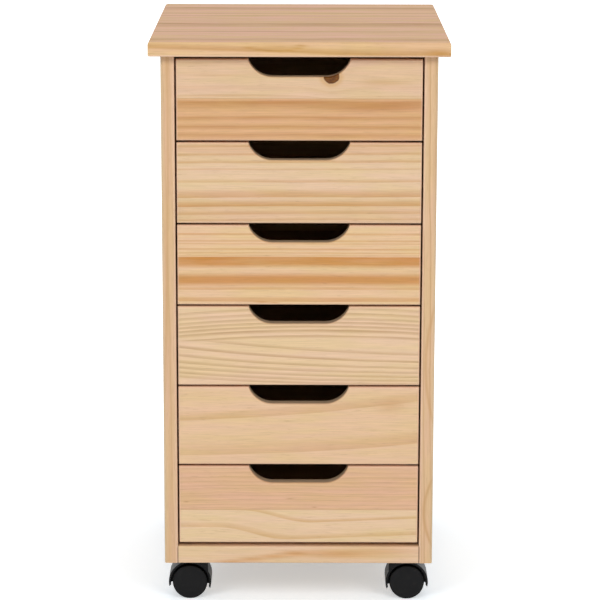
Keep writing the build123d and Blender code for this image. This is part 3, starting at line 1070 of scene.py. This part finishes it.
def nylon(name, seed, roughness, grain_depth, axle=None):
    """Black moulded nylon with a fine grain, flow marks and a little dust, and a rim round an axle."""
    finish = Finish(name)
    grain = finish.noise(finish.place, SPARK_GRAIN, seed)
    flow = finish.noise(finish.place, FLOW_SIZE, seed + 1, detail=3.0)
    dust = finish.span(finish.noise(finish.place, DUST_SIZE, seed + 2, detail=5.0), *DUST_PEAKS)
    colour = finish.mix(flow, NYLON_DARK, NYLON_LIGHT)
    colour = finish.mix(finish.times(dust, DUST_SHARE), colour, NYLON_DUST)
    gloss = finish.span(flow, *WIDE_NOISE, roughness - FLOW_ROUGHNESS, roughness + FLOW_ROUGHNESS)
    gloss = finish.add(gloss, finish.times(dust, DUST_ROUGHNESS))
    if axle:
        x, _, z = finish.split(finish.place)
        ahead = finish.add(finish.calc("ABSOLUTE", x), -axle.x)
        above = finish.add(z, -axle.z)
        reach = finish.calc("SQRT", finish.add(finish.times(ahead, ahead), finish.times(above, above)))
        groove = finish.bell(reach, RIM_GROOVE, RIM_GROOVE_WIDTH)
        colour = finish.mix(finish.span(reach, RIM_GROOVE, RIM_GROOVE + RIM_GROOVE_WIDTH), colour, RIM_BLACK)
        grain = finish.add(grain, finish.times(groove, -RIM_GROOVE_DEPTH))
    finish.cover(colour, gloss, grain, grain_depth)
    finish.shader.inputs["Specular IOR Level"].default_value = NYLON_SHEEN
    return finish


HOOD_ARRIS = 0.0006
WHEEL_ARRIS = 0.0016
hood_nylon = nylon("hood_nylon", 71, roughness=0.4, grain_depth=0.00002)
wheel_axle = pivots["front_right_caster_front_wheel_spin"]
wheel_nylon = nylon("wheel_nylon", 75, roughness=0.32, grain_depth=0.00001, axle=wheel_axle)
axle_zinc = zinc("axle_zinc", 9)
for corner in ("front_left", "front_right", "rear_left", "rear_right"):
    wear(f"{corner}_caster_hood", hood_nylon)
    soften(f"{corner}_caster_hood", HOOD_ARRIS, segments=3)
    wear(f"{corner}_caster_axle", axle_zinc)
    for end in ("front", "rear"):
        wear(f"{corner}_caster_{end}_wheel", wheel_nylon)
        soften(f"{corner}_caster_{end}_wheel", WHEEL_ARRIS, segments=4)


# Studio: a matt white floor that keeps the cart's shadow close by and turns pure white further off.
# Two soft lamps stand in front and one behind, high up, and a long lens looks down a little on the top.
WHITE = (1.0, 1.0, 1.0, 1.0)
FLOOR_HALF = 12.0
FLOOR_WHITE = (0.86, 0.935, 1.0, 1.0)
FLOOR_GLOW = 0.42
SHADOW_REACH = 0.25
WHITE_REACH = 0.9
AMBIENT = 0.5


def seen_directly(tree):
    """One for rays that look straight at the background, or see it in metal or glass."""
    path = tree.nodes.new("ShaderNodeLightPath")
    total = path.outputs["Is Camera Ray"]
    for kind in ("Is Glossy Ray", "Is Transmission Ray"):
        either = tree.nodes.new("ShaderNodeMath")
        either.operation = "MAXIMUM"
        tree.links.new(total, either.inputs[0])
        tree.links.new(path.outputs[kind], either.inputs[1])
        total = either.outputs[0]
    return total


floor_mesh = bpy.data.meshes.new("floor")
floor_corners = [(x, y, 0) for x, y in ((-1, -1), (1, -1), (1, 1), (-1, 1))]
floor_mesh.from_pydata([Vector(corner) * FLOOR_HALF for corner in floor_corners], [], [(0, 1, 2, 3)])
floor = bpy.data.objects.new("floor", floor_mesh)
bpy.context.scene.collection.objects.link(floor)
floor_paint = Finish("floor_paint")
floor_paint.shader.inputs["Base Color"].default_value = FLOOR_WHITE
floor_paint.shader.inputs["Roughness"].default_value = 1.0
floor_paint.shader.inputs["Specular IOR Level"].default_value = 0.0
floor_paint.shader.inputs["Emission Color"].default_value = WHITE
from_cart = floor_paint.node("ShaderNodeVectorMath", {0: floor_paint.place}, operation="LENGTH")
glow = floor_paint.span(from_cart.outputs["Value"], SHADOW_REACH, WHITE_REACH, FLOOR_GLOW, 1.0)
glow = floor_paint.times(glow, seen_directly(floor_paint.tree))
floor_paint.feed(floor_paint.shader.inputs["Emission Strength"], glow)
floor_mesh.materials.append(floor_paint.material)

world = bpy.data.worlds.new("studio")
bpy.context.scene.world = world
world.use_nodes = True
world_tree = world.node_tree
sky = world_tree.nodes["Background"]
sky.inputs["Color"].default_value = WHITE
level = world_tree.nodes.new("ShaderNodeMapRange")
level.inputs["To Min"].default_value = AMBIENT
level.inputs["To Max"].default_value = 1.0
world_tree.links.new(seen_directly(world_tree), level.inputs["Value"])
world_tree.links.new(level.outputs[0], sky.inputs["Strength"])

LAMP_AIM = Vector((0.0, 0.0, 0.3))


def softbox(name, place, size, power):
    """A large round lamp that points at the middle of the cart."""
    lamp = bpy.data.lights.new(name, "AREA")
    lamp.shape = "DISK"
    lamp.size = size
    lamp.energy = power
    stand = bpy.data.objects.new(name, lamp)
    stand.location = place
    stand.rotation_euler = (LAMP_AIM - Vector(place)).to_track_quat("-Z", "Y").to_euler()
    bpy.context.scene.collection.objects.link(stand)


for side, x in (("left", -2.6), ("right", 2.6)):
    softbox(f"{side}_softbox", (x, -4.4, 3.3), size=2.2, power=83.5)
softbox("top_softbox", (0.0, 1.6, 3.4), size=2.0, power=15.0)

CAMERA_PLACE = (0.0, -3.032, 0.994)
CAMERA_PITCH = math.radians(90 - 12.522)
CAMERA_ROLL = math.radians(-0.12)
camera_data = bpy.data.cameras.new("camera")
camera_data.lens = 157.38
camera_data.sensor_width = 36.0
camera_data.shift_x = -0.0002
camera = bpy.data.objects.new("camera", camera_data)
camera.location = CAMERA_PLACE
camera.rotation_euler = (CAMERA_PITCH, CAMERA_ROLL, 0.0)
bpy.context.scene.collection.objects.link(camera)
bpy.context.scene.camera = camera
bpy.context.scene.view_settings.view_transform = "Standard"
